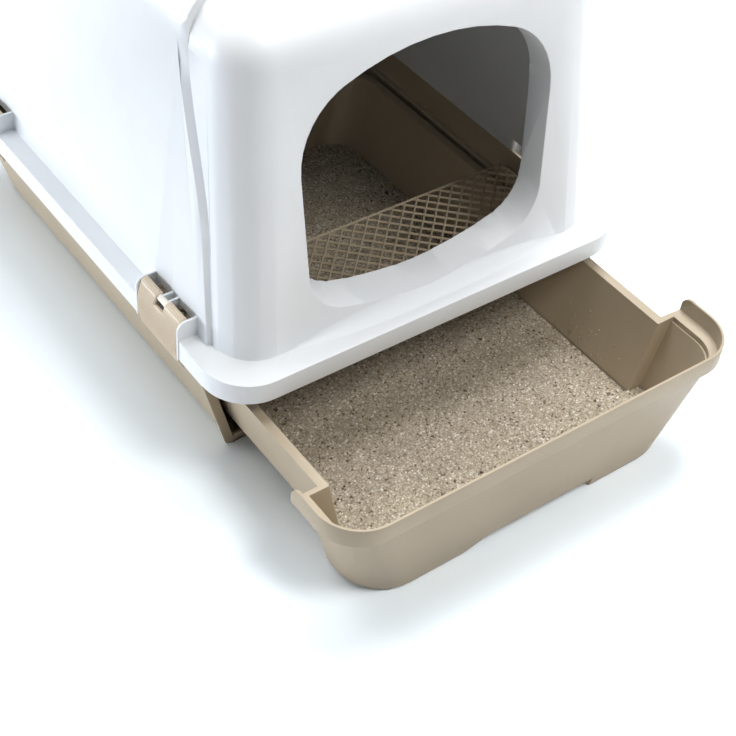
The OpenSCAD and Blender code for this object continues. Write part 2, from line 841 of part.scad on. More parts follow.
// The step: a diamond grate with a plain border, on a rail at each side
module step_grate() color(taupe) {
  back = grate_front + grate_l;
  hole = lattice_pitch - lattice_bar;
  step = lattice_pitch * sqrt(2);
  nx = floor((grate_half - grate_border) / step);
  ny = floor((grate_l / 2 - grate_border) / step);
  translate([0, 0, grate_top - grate_t])
    linear_extrude(grate_t)
      difference() {
        translate([-grate_half, grate_front]) square([2 * grate_half, grate_l]);
        intersection() {
          translate([-grate_half + grate_border, grate_front + grate_border])
            square([2 * (grate_half - grate_border), grate_l - 2 * grate_border]);
          for (i = [-nx - 1:nx + 1], j = [-ny - 1:ny + 1], k = [0, 0.5])
            translate([(i + k) * step, grate_front + grate_l / 2 + (j + k) * step])
              rotate(45) square(hole, center = true);
        }
      }
  for (s = [-1, 1]) {
    near = s * (grate_half - grate_rail);
    far = s * grate_half;
    box([min(near, far), base_front + frame_t, shelf_z], [max(near, far), back, grate_top]);
  }
}

// A latch: a curved plate with a barrel around its pin above and a toe below
module latch(side, end) color(taupe) at_latch(side, end) {
  difference() {
    union() {
      rod_y(pin_x, pin_z, barrel_r, -latch_l / 2, latch_l / 2);
      along_y(-latch_l / 2, latch_l / 2)
        translate([pin_x, pin_z])
          union() {
            polygon(concat(arc([plate_u, plate_v], plate_r, plate_end, plate_top, 16),
                           arc([plate_u, plate_v], plate_r - plate_t, plate_top, plate_end, 16)));
            polygon([[toe_in, toe_top], [toe_in, toe_bottom + toe_edge], [toe_in + toe_edge, toe_bottom],
                     [plate_u + plate_r * cos(plate_end) - toe_slope, toe_bottom],
                     [plate_u + plate_r * cos(plate_end), plate_v + plate_r * sin(plate_end)],
                     [plate_u + (plate_r - plate_t) * cos(plate_end),
                      plate_v + (plate_r - plate_t) * sin(plate_end)],
                     [plate_u + (plate_r - plate_t) * cos(plate_end) - toe_step, toe_top]]);
          }
    }
    rod_y(pin_x, pin_z, pin_r + hinge_clear, -latch_l, latch_l);
    box([pin_x - 2 * barrel_r, -notch_w / 2, pin_z - barrel_r - notch_under],
        [pin_x + 2 * barrel_r, notch_w / 2, pin_z + 2 * barrel_r]);
  }
}

// The pin that a latch turns on, held in the guards at both ends
module latch_pin(side, end) color(ivory) at_latch(side, end) {
  half = pocket_half + pin_seat - play / 2;
  rod_y(pin_x, pin_z, pin_r, -half, half);
}

// The handle: a bail that lies in its recess, with a stud on each arm
module carry_handle() color(taupe) {
  t = handle_t / 2;
  translate([0, 0, handle_z - t])
    linear_extrude(handle_t)
      difference() {
        rounded(handle_l / 2, handle_y - handle_arm - t, handle_y + 2 * handle_arm, bail_r, $fn = 48);
        rounded(handle_l / 2 - handle_t, handle_y - handle_arm + t, handle_y + 3 * handle_arm,
                bail_r - handle_t, $fn = 48);
        translate([-handle_l, handle_y]) square([2 * handle_l, 4 * handle_arm]);
      }
  for (s = [-1, 1]) {
    near = s * (handle_l / 2 - handle_t);
    far = s * handle_l / 2;
    rod_x(handle_y, handle_z, t, min(near, far), max(near, far));
    rod_x(handle_y, handle_z, stud_r, min(near, far + s * stud_l), max(near, far + s * stud_l));
  }
}

// The filter's lid: a slotted plate with a barrel along its rear edge
module filter_lid() color(taupe) {
  difference() {
    translate([0, 0, total_h - lid_t])
      linear_extrude(lid_t)
        difference() {
          rounded(lid_half, lid_front, lid_axis_y + recess_r, recess_r, $fn = 24);
          translate([-skirt_w, lid_axis_y]) square(2 * skirt_w);
          translate([0, lid_front]) circle(r = lid_notch, $fn = 32);
        }
    for (i = [0:slot_n - 1])
      translate([(i - (slot_n - 1) / 2) * slot_pitch, filter_y, total_h - 2 * lid_t])
        linear_extrude(3 * lid_t) slot_shape(filter_l - 2 * lid_edge);
  }
  rod_x(lid_axis_y, lid_axis_z, hinge_r, -lid_half, lid_half);
  for (s = [-1, 1]) {
    near = s * (lid_half - past);
    far = s * (lid_half + lid_stud_l);
    rod_x(lid_axis_y, lid_axis_z, lid_stud_r, min(near, far), max(near, far));
  }
}

// The carbon pad under the lid
module filter_pad() color(charcoal) {
  rounded_block(filter_w / 2, filter_y - filter_l / 2, filter_y + filter_l / 2, pad_r,
                filter_floor, filter_floor + filter_t);
}

base_tub();
hood_shell();
drawer_tray();
litter_bed();
step_grate();
latch(-1, -1);  // latch_front_left
latch(1, -1);  // latch_front_right
latch(-1, 1);  // latch_rear_left
latch(1, 1);  // latch_rear_right
latch_pin(-1, -1);  // latch_pin_front_left
latch_pin(1, -1);  // latch_pin_front_right
latch_pin(-1, 1);  // latch_pin_rear_left
latch_pin(1, 1);  // latch_pin_rear_right
carry_handle();
filter_lid();
filter_pad();
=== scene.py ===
# %% [markdown]
# # A drawer litter box
# The box is injection moulded in polypropylene: a cool white hood that stands on a taupe base,
# and a taupe drawer that slides out of the base with the litter in it. Four latches clamp the
# hood down, and a diamond grate inside the entrance strips the litter from the cat's paws.
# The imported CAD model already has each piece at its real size. So this script adds only what
# the real pieces have and the solids lack: rounded edges, a skin that catches the light, and
# litter that lies loose.

# %% Frame
import json
import math
import random

import bmesh
import bpy
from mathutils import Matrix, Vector, noise


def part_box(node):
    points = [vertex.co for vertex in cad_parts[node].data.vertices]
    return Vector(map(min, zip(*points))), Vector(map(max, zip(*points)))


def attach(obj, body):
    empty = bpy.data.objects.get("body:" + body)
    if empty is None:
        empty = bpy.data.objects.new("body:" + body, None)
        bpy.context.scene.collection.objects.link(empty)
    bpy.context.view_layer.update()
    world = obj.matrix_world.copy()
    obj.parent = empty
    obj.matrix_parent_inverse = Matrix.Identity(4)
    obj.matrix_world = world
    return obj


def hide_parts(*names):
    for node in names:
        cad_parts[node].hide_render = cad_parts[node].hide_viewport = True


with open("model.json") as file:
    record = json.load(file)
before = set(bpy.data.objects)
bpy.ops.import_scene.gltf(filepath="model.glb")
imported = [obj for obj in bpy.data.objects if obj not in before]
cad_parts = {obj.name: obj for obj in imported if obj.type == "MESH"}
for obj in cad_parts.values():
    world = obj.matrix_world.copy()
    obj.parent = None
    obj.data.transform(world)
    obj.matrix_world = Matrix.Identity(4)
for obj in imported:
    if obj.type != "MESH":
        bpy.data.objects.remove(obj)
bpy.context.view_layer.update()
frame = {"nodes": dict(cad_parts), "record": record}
nodes = frame["nodes"]
body_of = {n: b for b, group in frame["record"]["behaviour"]["bodies"].items() for n in group}

# %% [markdown]
# ## The camera
# This is a product shot from the front left, well above the box, with a fairly long lens.
# The place and the angles were found from the box's straight edges, which meet in three
# vanishing points. A camera in Blender looks along its own -Z, with X to its right and Y up,
# so its matrix is filled with those three directions, turned by the roll. That is safer than
# three angles, whose order is easily mixed up.

# %% Camera
MM = 0.001
CAMERA_PLACE = Vector((-613.6, -907.9, 918.9)) * MM
HEADING = math.radians(39.83)
TILT_DOWN = math.radians(44.18)
ROLL = math.radians(5.74)
FOCAL_PIXELS = 1500.6
IMAGE_PIXELS = 736
SENSOR_MM = 36
FAR_METRES = 20


def add_camera():
    forward = Vector((math.sin(HEADING) * math.cos(TILT_DOWN),
                      math.cos(HEADING) * math.cos(TILT_DOWN),
                      -math.sin(TILT_DOWN)))
    level_right = Vector((math.cos(HEADING), -math.sin(HEADING), 0))
    level_up = level_right.cross(forward)
    right = math.cos(ROLL) * level_right + math.sin(ROLL) * level_up
    up = right.cross(forward)
    camera = bpy.data.objects.new("camera", bpy.data.cameras.new("camera"))
    bpy.context.scene.collection.objects.link(camera)
    turn = camera.matrix_world.to_3x3()
    for row in range(3):
        turn[row][0], turn[row][1], turn[row][2] = right[row], up[row], -forward[row]
    camera.matrix_world = turn.to_4x4()
    camera.location = CAMERA_PLACE
    camera.data.sensor_width = SENSOR_MM
    camera.data.lens = SENSOR_MM * FOCAL_PIXELS / IMAGE_PIXELS
    camera.data.clip_end = FAR_METRES
    bpy.context.scene.camera = camera
    return camera


camera = add_camera()
print("lens in mm:", round(camera.data.lens, 1))

# %% [markdown]
# ## Colours and a helper for materials
# Paint charts and screens name colours in sRGB, but Blender's shaders work in linear light.
# One function turns a hex value into linear numbers. A second one adds a node with its
# settings and its links, so that a material reads as a short list.

# %% Colour and node helpers


def linear(hex_colour):
    """The sRGB standard's own curve, from a hex colour to red, green, blue and alpha."""
    parts = [int(hex_colour[i:i + 2], 16) / 255 for i in (1, 3, 5)]
    return [c / 12.92 if c <= 0.04045 else ((c + 0.055) / 1.055) ** 2.4 for c in parts] + [1.0]


def add_node(tree, kind, links=None, inputs=None, **settings):
    """Adds a node; links name a socket to join it to, and inputs are plain values."""
    node = tree.nodes.new(kind)
    for name, value in settings.items():
        setattr(node, name, value)
    for name, value in (inputs or {}).items():
        node.inputs[name].default_value = value
    for name, socket in (links or {}).items():
        tree.links.new(socket, node.inputs[name])
    return node


def new_material(name):
    """A material with a bare Principled shader, and the object's own coordinates to read."""
    material = bpy.data.materials.new(name)
    material.use_nodes = True
    material.node_tree.nodes.clear()
    tree = material.node_tree
    output = add_node(tree, "ShaderNodeOutputMaterial")
    shader = add_node(tree, "ShaderNodeBsdfPrincipled")
    tree.links.new(shader.outputs["BSDF"], output.inputs["Surface"])
    place = add_node(tree, "ShaderNodeTexCoord").outputs["Object"]
    return material, tree, shader, place


def per_metre(size_mm):
    """The scale of a pattern whose features are this many millimetres apart."""
    return 1000.0 / size_mm


print("taupe in linear light:", [round(c, 3) for c in linear("#B0A28C")])

# %% [markdown]
# ## Moulded polypropylene
# Polypropylene comes from a polished or lightly etched mould. Its colour is even, but the
# melt leaves very faint clouds in it, and its skin ripples a little on wide walls, which
# bends the reflections. The fine etch is about half a millimetre across: too fine to see
# as bumps, so it shows as a soft, broken highlight. It is drawn at 1.2 mm here. All the
# plastic parts are this one material with another pigment, so one function makes them.

# %% A moulded plastic
CLOUD_MM = 70
ETCH_MM, ETCH_DEEP_MM = 1.2, 0.08
RIPPLE_MM, RIPPLE_DEEP_MM = 45, 0.8
PLASTIC_IOR = 1.49


def moulded_plastic(name, light, dark, roughness, etch, ripple):
    material, tree, shader, place = new_material(name)
    clouds = add_node(tree, "ShaderNodeTexNoise", {"Vector": place},
                      {"Scale": per_metre(CLOUD_MM), "Detail": 3, "Roughness": 0.55})
    tint = add_node(tree, "ShaderNodeValToRGB", {"Fac": clouds.outputs["Fac"]})
    tint.color_ramp.elements[0].position = 0.35
    tint.color_ramp.elements[1].position = 0.65
    tint.color_ramp.elements[0].color = linear(dark)
    tint.color_ramp.elements[1].color = linear(light)
    tree.links.new(tint.outputs["Color"], shader.inputs["Base Color"])
    grain = add_node(tree, "ShaderNodeTexNoise", {"Vector": place},
                     {"Scale": per_metre(ETCH_MM), "Detail": 2, "Roughness": 0.6})
    wave = add_node(tree, "ShaderNodeTexNoise", {"Vector": place},
                    {"Scale": per_metre(RIPPLE_MM), "Detail": 1})
    fine = add_node(tree, "ShaderNodeBump", {"Height": grain.outputs["Fac"]},
                    {"Strength": etch, "Distance": ETCH_DEEP_MM * MM})
    wide = add_node(tree, "ShaderNodeBump",
                    {"Height": wave.outputs["Fac"], "Normal": fine.outputs["Normal"]},
                    {"Strength": ripple, "Distance": RIPPLE_DEEP_MM * MM})
    tree.links.new(wide.outputs["Normal"], shader.inputs["Normal"])
    gloss = add_node(tree, "ShaderNodeMapRange", {"Value": grain.outputs["Fac"]},
                     {"To Min": roughness - 0.04, "To Max": roughness + 0.05})
    tree.links.new(gloss.outputs["Result"], shader.inputs["Roughness"])
    shader.inputs["IOR"].default_value = PLASTIC_IOR
    return material


print("etch drawn at", ETCH_MM, "mm, ripples", RIPPLE_MM, "mm apart")

# %% [markdown]
# ## Four pigments
# The hood is a cool white from a polished mould, so its etch is the weakest. The tubs are
# taupe and more matt, because etching hides the scratches of a scoop. The latch plates are a
# paler taupe, and the pins are ivory, smooth where the latches turn on them.

# %% Plastic materials
white_pp = moulded_plastic("white_polypropylene", "#EBEFF3", "#E8ECF0",
                           roughness=0.40, etch=0.12, ripple=0.15)
taupe_pp = moulded_plastic("taupe_polypropylene", "#B0A28C", "#AB9D87",
                           roughness=0.45, etch=0.35, ripple=0.20)
trim_pp = moulded_plastic("pale_taupe_polypropylene", "#DFD1BC", "#D9CBB6",
                          roughness=0.42, etch=0.30, ripple=0.15)
ivory_pp = moulded_plastic("ivory_polypropylene", "#F4F0E6", "#F0EBDF",
                           roughness=0.35, etch=0.20, ripple=0.10)
print("plastics:", [m.name for m in (white_pp, taupe_pp, trim_pp, ivory_pp)])

# %% [markdown]
# ## From CAD solids to moulded parts
# A CAD solid has knife-sharp edges, and nothing looks less real, because a mould can't make
# one. Each solid's mesh is loose triangles, so a copy of it is merged first. Then a Bevel
# modifier rounds the sharp edges. A bevel folds over itself where an edge runs close to
# another one, so only the edges with room on both sides are given a bevel weight.

# %% Copying a CAD node
SAME_PLACE_MM = 0.01


def only(piece):
    """Selects one piece alone, because an operator acts on all that is selected."""
    bpy.ops.object.select_all(action="DESELECT")
    piece.select_set(True)
    bpy.context.view_layer.objects.active = piece


def merged_copy(node, name):
    """A copy of a CAD node whose loose triangles share their corners."""
    piece = bpy.data.objects.new(name, nodes[node].data.copy())
    bpy.context.scene.collection.objects.link(piece)
    only(piece)
    bpy.ops.mesh.customdata_custom_splitnormals_clear()
    bpy.ops.object.mode_set(mode="EDIT")
    bpy.ops.mesh.select_all(action="SELECT")
    bpy.ops.mesh.remove_doubles(threshold=SAME_PLACE_MM * MM)
    bpy.ops.object.mode_set(mode="OBJECT")
    return piece


print("corners closer than", SAME_PLACE_MM, "mm are merged")

# %% Room for a rounded edge
ROOM = 2.2  # times the bevel's width
SHARP = math.radians(40)
STRAIGHT_ON = 0.5  # cosine of the turn at which one edge still carries on another


def has_room(edge, sharp, width):
    """Whether both faces and all the edges at the ends are wide enough for the bevel."""
    along = (edge.verts[1].co - edge.verts[0].co).normalized()
    for face in edge.link_faces:
        reach = max((v.co - edge.verts[0].co).cross(along).length for v in face.verts)
        if reach < ROOM * width:
            return False
    for corner in edge.verts:
        ahead = (corner.co - edge.other_vert(corner).co).normalized()
        for other in corner.link_edges:
            onward = (other.other_vert(corner).co - corner.co).normalized()
            carries_on = other in sharp and ahead.dot(onward) > STRAIGHT_ON
            if other != edge and not carries_on and other.calc_length() < ROOM * width:
                return False
    return True


def weigh_sharp_edges(piece, width):
    """Gives a bevel weight of 1 to the sharp edges that have room."""
    mesh = bmesh.new()
    mesh.from_mesh(piece.data)
    weight = mesh.edges.layers.float.new("bevel_weight_edge")
    sharp = {e for e in mesh.edges
             if len(e.link_faces) == 2 and e.calc_face_angle() > SHARP}
    for edge in sharp:
        edge[weight] = 1.0 if has_room(edge, sharp, width) else 0.0
    mesh.to_mesh(piece.data)
    mesh.free()


print("room that a bevel needs, in widths:", ROOM)

# %% [markdown]
# ## From a copy to a finished part
# Each moulded part takes the same steps: copy, reshape if need be, round the edges, join what
# was added, shade it smooth, and put it in the place of its CAD node. A modifier is applied
# at once, so that the mesh is final and the next step can count on it.

# %% Modifiers and joining
SMOOTH = math.radians(30)


def use_modifier(piece, kind, **settings):
    """Adds a modifier with its settings and applies it."""
    modifier = piece.modifiers.new(kind.lower(), kind)
    for setting, value in settings.items():
        setattr(modifier, setting, value)
    only(piece)
    bpy.ops.object.modifier_apply(modifier=modifier.name)


def join(parts):
    """Joins pieces into the first of them."""
    bpy.ops.object.select_all(action="DESELECT")
    for part in parts:
        part.select_set(True)
    bpy.context.view_layer.objects.active = parts[0]
    bpy.ops.object.join()


def stand_in(piece, node, material):
    """Gives a piece its material, hides the CAD node it stands for and moves with it."""
    piece.data.materials.clear()
    piece.data.materials.append(material)
    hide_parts(node)
    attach(piece, body_of[node])


print("smooth up to", round(math.degrees(SMOOTH)), "degrees")

# %% Moulding a part


def mould(node, name, material, edge_mm, extras=(), reshape=None):
    """Makes the finished part that stands in for a CAD node, its edges rounded."""
    piece = merged_copy(node, name)
    if reshape:
        reshape(piece)
    weigh_sharp_edges(piece, edge_mm * MM)
    use_modifier(piece, "BEVEL", width=edge_mm * MM, segments=2,
                 limit_method="WEIGHT", use_clamp_overlap=False)
    join([piece, *extras])
    bpy.ops.object.shade_smooth_by_angle(angle=SMOOTH)
    stand_in(piece, node, material)
    print(name, "has", len(piece.data.polygons), "faces")
    return piece


print("nodes that parts can stand in for:", len(body_of))

# %% [markdown]
# ## The sweep of the side panels
# A small step runs up between the front bezel and each side panel. It is steep at its foot,
# and higher up it widens and sweeps backwards in an S. The solid has a plain straight step,
# so its two edges get corners in between, outside and inside, and all of them are moved.
# Moving corners keeps the wall closed and as thick as it was, which cutting wouldn't.

# %% Sweep of a panel's edge
LEDGE_MM = 130
FRONT_LEAN = 0.137  # back per millimetre up
EDGE_MM = -202  # the step's front edge, at the ledge
STEP_LINES_MM = (0, 1.12, 7, 8.12)  # both edges behind that, outside and inside
BACK_LINES_MM = 7  # where the step's back edge begins among them
ON_LINE_MM = 0.02
SIDE_FROM_MM = 160
STRAIGHT_TOP_MM = 363
SWEEP_FROM_MM, SWEEP_TO_MM = 220, 357.9
SWEEP_MM = 22
STEEPER_MM, STEEPER_FADE = 5.5, 0.036  # the back edge's shift at its foot, and its loss per mm
CORNER_FROM_MM, CORNER_TO_MM = -0.1, 19.5  # the rounded corner behind the step
LONG_EDGE_MM = 100
NEW_CORNERS = 14


def past_edge(place):
    """How far a place lies behind the step's front edge, in millimetres."""
    return (place.y - FRONT_LEAN * place.z) / MM + FRONT_LEAN * LEDGE_MM - EDGE_MM


def step_line(place):
    """The line of the straight step that a corner lies on, or None."""
    if place.z / MM > STRAIGHT_TOP_MM or abs(place.x) / MM < SIDE_FROM_MM:
        return None
    behind = past_edge(place)
    return next((line for line in STEP_LINES_MM if abs(behind - line) < ON_LINE_MM), None)


def sweep(place, line):
    """How far a corner of the step moves back, in millimetres, eased in and out."""
    part = min(max((place.z / MM - SWEEP_FROM_MM) / (SWEEP_TO_MM - SWEEP_FROM_MM), 0), 1)
    steeper = 0
    if line and line >= BACK_LINES_MM:
        steeper = max(STEEPER_MM - STEEPER_FADE * (place.z / MM - LEDGE_MM), 0)
    return SWEEP_MM * part * part * (3 - 2 * part) - steeper


print("the step sweeps back", SWEEP_MM, "mm between heights", SWEEP_FROM_MM, "and", SWEEP_TO_MM)

# %% Moving the step's corners


def sweep_panels(piece):
    """Adds corners along the step of a hood's side panels and moves them to the S."""
    only(piece)
    bpy.ops.object.mode_set(mode="EDIT")
    bpy.ops.mesh.select_all(action="DESELECT")
    bpy.ops.mesh.select_mode(type="FACE")
    mesh = bmesh.from_edit_mesh(piece.data)
    for face in mesh.faces:
        face.select_set(all(step_line(corner.co) is not None for corner in face.verts))
    bmesh.update_edit_mesh(piece.data)
    bpy.ops.mesh.dissolve_faces()
    bpy.ops.mesh.select_mode(type="EDGE")
    bpy.ops.mesh.select_all(action="DESELECT")
    mesh = bmesh.from_edit_mesh(piece.data)
    for edge in mesh.edges:
        first, second = (step_line(corner.co) for corner in edge.verts)
        same_line = first is not None and first == second
        edge.select_set(same_line and edge.calc_length() > LONG_EDGE_MM * MM)
    bmesh.update_edit_mesh(piece.data)
    bpy.ops.mesh.subdivide(number_cuts=NEW_CORNERS)
    bpy.ops.object.mode_set(mode="OBJECT")
    moves = []
    for corner in piece.data.vertices:
        line = step_line(corner.co)
        on_top = corner.co.z / MM > SWEEP_TO_MM
        in_corner = CORNER_FROM_MM < past_edge(corner.co) < CORNER_TO_MM
        if line is not None or (on_top and in_corner):
            moves.append((corner, sweep(corner.co, line)))
    for corner, back in moves:
        corner.co.y += back * MM
    print("corners moved along the step:", len(moves))


# %% Hood
mould("hood_shell", "hood", white_pp, edge_mm=0.7, reshape=sweep_panels)

# %% [markdown]
# ## Base and drawer
# The base is a deep tub with its front cut open. The drawer is a second tub that slides in
# it, with a wider front as its handle. Thick rims keep such thin walls straight, and they
# catch most of the light, so the two tubs get the widest rounding that their rims have room
# for. A few of the base's bevelled corners would dip below the floor and are set on it.

# %% Base and drawer
base = mould("base_tub", "base", taupe_pp, edge_mm=0.8)
for corner in base.data.vertices:
    corner.co.z = max(corner.co.z, 0)
drawer = mould("drawer_tray", "drawer", taupe_pp, edge_mm=0.9)

# %% [markdown]
# ## The step grate
# The grate is a thin frame crossed by slim bars, so that litter falls through it. A grid
# turned by 45 degrees gives the pattern. It is cut off at the frame's outline, and a
# Wireframe modifier then makes a square bar out of each of its edges, also those along the
# outline. A rail hangs down at each end, where the grate rests on the base's shelf.

# %% Step grate
PITCH_MM = 9.4
BAR_MM = 2.2
DEEP_MM = 3.0
BAR_EDGE_MM = 0.3
RAIL_FRONT_MM = -191
REACH = 0.75  # half the turned grid's side, as a share of the grate's width
low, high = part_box("step_grate")
half_bar = BAR_MM / 2 * MM
middle = (low + high) / 2
cells = 2 * math.ceil((high.x - low.x) * REACH / (PITCH_MM * MM))
bpy.ops.mesh.primitive_grid_add(
    x_subdivisions=cells, y_subdivisions=cells, size=cells * PITCH_MM * MM)
grate = bpy.context.object
grate.name = "grate"
bpy.ops.object.mode_set(mode="EDIT")
bpy.ops.mesh.select_all(action="SELECT")
bpy.ops.transform.rotate(value=math.radians(45), orient_axis="Z", center_override=(0, 0, 0))
bpy.ops.transform.translate(value=(middle.x, middle.y, high.z - half_bar))
for corner, out in ((low, -1), (high, 1)):
    for normal in ((out, 0, 0), (0, out, 0)):
        bpy.ops.mesh.select_all(action="SELECT")
        bpy.ops.mesh.bisect(plane_co=corner - out * Vector((half_bar, half_bar, 0)),
                            plane_no=normal, clear_outer=True)
bpy.ops.object.mode_set(mode="OBJECT")
print("the lattice has", cells, "cells along each side before it is cut")

# %% Bars and rails of the grate
use_modifier(grate, "WIREFRAME", thickness=2 * half_bar, use_boundary=True)
use_modifier(grate, "BEVEL", width=BAR_EDGE_MM * MM, segments=1, limit_method="ANGLE")
bpy.ops.object.mode_set(mode="EDIT")
bpy.ops.mesh.select_all(action="SELECT")
bpy.ops.transform.resize(value=(1, 1, DEEP_MM / BAR_MM), center_override=(0, 0, high.z))
bpy.ops.mesh.select_all(action="DESELECT")
bpy.ops.object.mode_set(mode="OBJECT")
parts = [grate]
front = RAIL_FRONT_MM * MM
for x in (low.x + half_bar, high.x - half_bar):
    bpy.ops.mesh.primitive_cube_add(
        size=1, location=(x, (front + high.y) / 2, (low.z + high.z) / 2),
        scale=(2 * half_bar, high.y - front, high.z - low.z))
    parts.append(bpy.context.object)
join(parts)
stand_in(grate, "step_grate", taupe_pp)
print("grate has", len(grate.data.polygons), "faces")

# %% [markdown]
# ## Latches, pins, handle and filter
# The latches turn on ivory pins and snap under a catch on the base. Fine ridges run along
# the whole outside of each plate, so that a thumb can grip it. They follow the plate's arc
# and then the barrel around the pin, and they stop short of the notch that shows the pin.
# Each ridge is a thin bar sunk into the plate, since a bump in the material would be lost
# from the side.

# %% Ridges of a latch
ARC_MM = 64  # radius of the plate's outside
ARC_OUT_MM, ARC_UP_MM = 7.4, -20  # the arc's outermost place, out and up from the pin
ARC_RIDGES, ARC_TOP, ARC_STEP = 26, 17.2, 1.45  # their number, the first one's turn, the step
BARREL_MM = 4.05  # radius of the barrel's outside
BARREL_TURNS = (32, 58, 84, 110)
RIDGE_MM = 0.7
RIDGE_UP_MM = 0.45
NOTCH_MM = 13
LATCH_MM = 58
END_GAP_MM = 1
UNDER_BARREL_MM = 2


def ridge_lines():
    """Middles of the ridges across the plate: outward and up from the pin, and their turn."""
    lines = []
    for step in range(ARC_RIDGES):
        angle = math.radians(ARC_TOP - ARC_STEP * step)
        lines.append((ARC_OUT_MM - ARC_MM + ARC_MM * math.cos(angle),
                      ARC_UP_MM + ARC_MM * math.sin(angle), angle))
    for degrees in BARREL_TURNS:
        angle = math.radians(degrees)
        lines.append((BARREL_MM * math.cos(angle), BARREL_MM * math.sin(angle), angle))
    return lines


def spans(up):
    """Middle and length of a ridge at this height: one below the notch, two beside it."""
    if up < -BARREL_MM - UNDER_BARREL_MM:
        return [(0, LATCH_MM - END_GAP_MM)]
    return [(end * (LATCH_MM + NOTCH_MM) / 4, (LATCH_MM - NOTCH_MM) / 2 - END_GAP_MM)
            for end in (-1, 1)]


def add_ridges(pin, side):
    """Adds the ridges of the latch that turns on this pin, and gives them back."""
    ridges = []
    for out, up, angle in ridge_lines():
        for middle, length in spans(up):
            bpy.ops.mesh.primitive_cube_add(
                size=MM, location=pin + Vector((side * out, middle, up)) * MM,
                rotation=(0, -side * angle, 0), scale=(2 * RIDGE_UP_MM, length, RIDGE_MM))
            ridges.append(bpy.context.object)
    return ridges


print("ridges on a latch:", len(ridge_lines()))

# %% Small moulded parts
for place in ("front_left", "front_right", "rear_left", "rear_right"):
    low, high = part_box("latch_pin_" + place)
    ridges = add_ridges((low + high) / 2, math.copysign(1, low.x))
    mould("latch_" + place, "latch_" + place + "_plate", trim_pp,
          edge_mm=0.4, extras=ridges)
    mould("latch_pin_" + place, "latch_" + place + "_bar", ivory_pp, edge_mm=0.3)
mould("carry_handle", "handle_bail", taupe_pp, edge_mm=0.9)
mould("filter_lid", "filter_cover", taupe_pp, edge_mm=0.4)

# %% [markdown]
# ## Carbon felt
# The filter pad is needled polyester felt, soaked with charcoal. Its fibres are about a
# twentieth of a millimetre thick, too fine to show, so the fuzz is drawn at half a
# millimetre. It has next to no shine. The pad keeps its plain cut shape, because it lies
# flat under the lid and shows only when that is open.

# %% Filter pad
FUZZ_MM = 0.5
felt, tree, shader, place = new_material("carbon_felt")
fuzz = add_node(tree, "ShaderNodeTexNoise", {"Vector": place},
                {"Scale": per_metre(FUZZ_MM), "Detail": 4, "Roughness": 0.7})
char = add_node(tree, "ShaderNodeValToRGB", {"Fac": fuzz.outputs["Fac"]})
char.color_ramp.elements[0].color = linear("#1E1E1E")
char.color_ramp.elements[1].color = linear("#454443")
tree.links.new(char.outputs["Color"], shader.inputs["Base Color"])
nap = add_node(tree, "ShaderNodeBump", {"Height": fuzz.outputs["Fac"]},
               {"Strength": 0.8, "Distance": FUZZ_MM * MM})
tree.links.new(nap.outputs["Normal"], shader.inputs["Normal"])
shader.inputs["Roughness"].default_value = 0.95
shader.inputs["Specular IOR Level"].default_value = 0.1
mould("filter_pad", "filter_felt", felt, edge_mm=1.2)

# %% [markdown]
# ## The litter
# Clumping litter is clay broken into grains of one to two millimetres. Lying loose it makes
# a bed with a slightly waved top. Modelling each grain would take hundreds of thousands of
# them, so the bed's surface is remeshed to small squares, and each corner is pushed up or
# down by a pattern of cells as large as a grain. The colour of each grain comes from the
# same kind of cells in the material. About five hundred loose grains lie on top of it.

# %% Litter materials
GRAIN_MM, PIT_MM = 1.7, 0.7
PATCH_MM = 32
STOPS = (0.03, 0.07, 0.45, 0.85, 0.95)  # the shares of grains up to each inner colour


def litter_material(name, colours):
    """Grains in these colours; in a long list the first and the last ones are rare."""
    material, tree, shader, place = new_material(name)
    grains = add_node(tree, "ShaderNodeTexVoronoi", {"Vector": place},
                      {"Scale": per_metre(GRAIN_MM), "Randomness": 1.0})
    pick = add_node(tree, "ShaderNodeSeparateColor", {"Color": grains.outputs["Color"]})
    tint = add_node(tree, "ShaderNodeValToRGB", {"Fac": pick.outputs["Red"]})
    ends = tint.color_ramp.elements
    ends[0].color, ends[-1].color = linear(colours[0]), linear(colours[-1])
    for position, colour in zip(STOPS, colours[1:-1]):
        ends.new(position).color = linear(colour)
    patches = add_node(tree, "ShaderNodeTexNoise", {"Vector": place},
                       {"Scale": per_metre(PATCH_MM), "Detail": 3, "Roughness": 0.6})
    shade = add_node(tree, "ShaderNodeMapRange", {"Value": patches.outputs["Fac"]},
                     {"From Min": 0.35, "From Max": 0.65, "To Min": 0.92, "To Max": 1.04})
    # Painted shade: the colour darkens to 0.6 towards the edge of each grain's cell, standing in
    # for the shade in the pits between grains.
    gap_shade = add_node(tree, "ShaderNodeMapRange", {"Value": grains.outputs["Distance"]},
                    {"From Min": 0.3, "From Max": 0.8, "To Min": 1.0, "To Max": 0.6})
    # The random patch tone times the painted shade between grains.
    darker = add_node(tree, "ShaderNodeMath", operation="MULTIPLY")
    tree.links.new(shade.outputs["Result"], darker.inputs[0])
    tree.links.new(gap_shade.outputs["Result"], darker.inputs[1])
    mixed = add_node(tree, "ShaderNodeVectorMath", operation="SCALE")
    tree.links.new(tint.outputs["Color"], mixed.inputs[0])
    tree.links.new(darker.outputs["Value"], mixed.inputs["Scale"])
    tree.links.new(mixed.outputs["Vector"], shader.inputs["Base Color"])
    bump = add_node(tree, "ShaderNodeBump", {"Height": grains.outputs["Distance"]},
                    {"Strength": 0.9, "Distance": PIT_MM * MM}, invert=True)
    tree.links.new(bump.outputs["Normal"], shader.inputs["Normal"])
    shader.inputs["Roughness"].default_value = 0.92
    shader.inputs["Specular IOR Level"].default_value = 0.2
    return material


clay = litter_material("clay_litter", ("#645745", "#867866", "#AB9F8C", "#BAAE9B",
                                       "#C6BBA9", "#DBD2C4", "#EAE4D9"))
print("litter grain in mm:", GRAIN_MM)

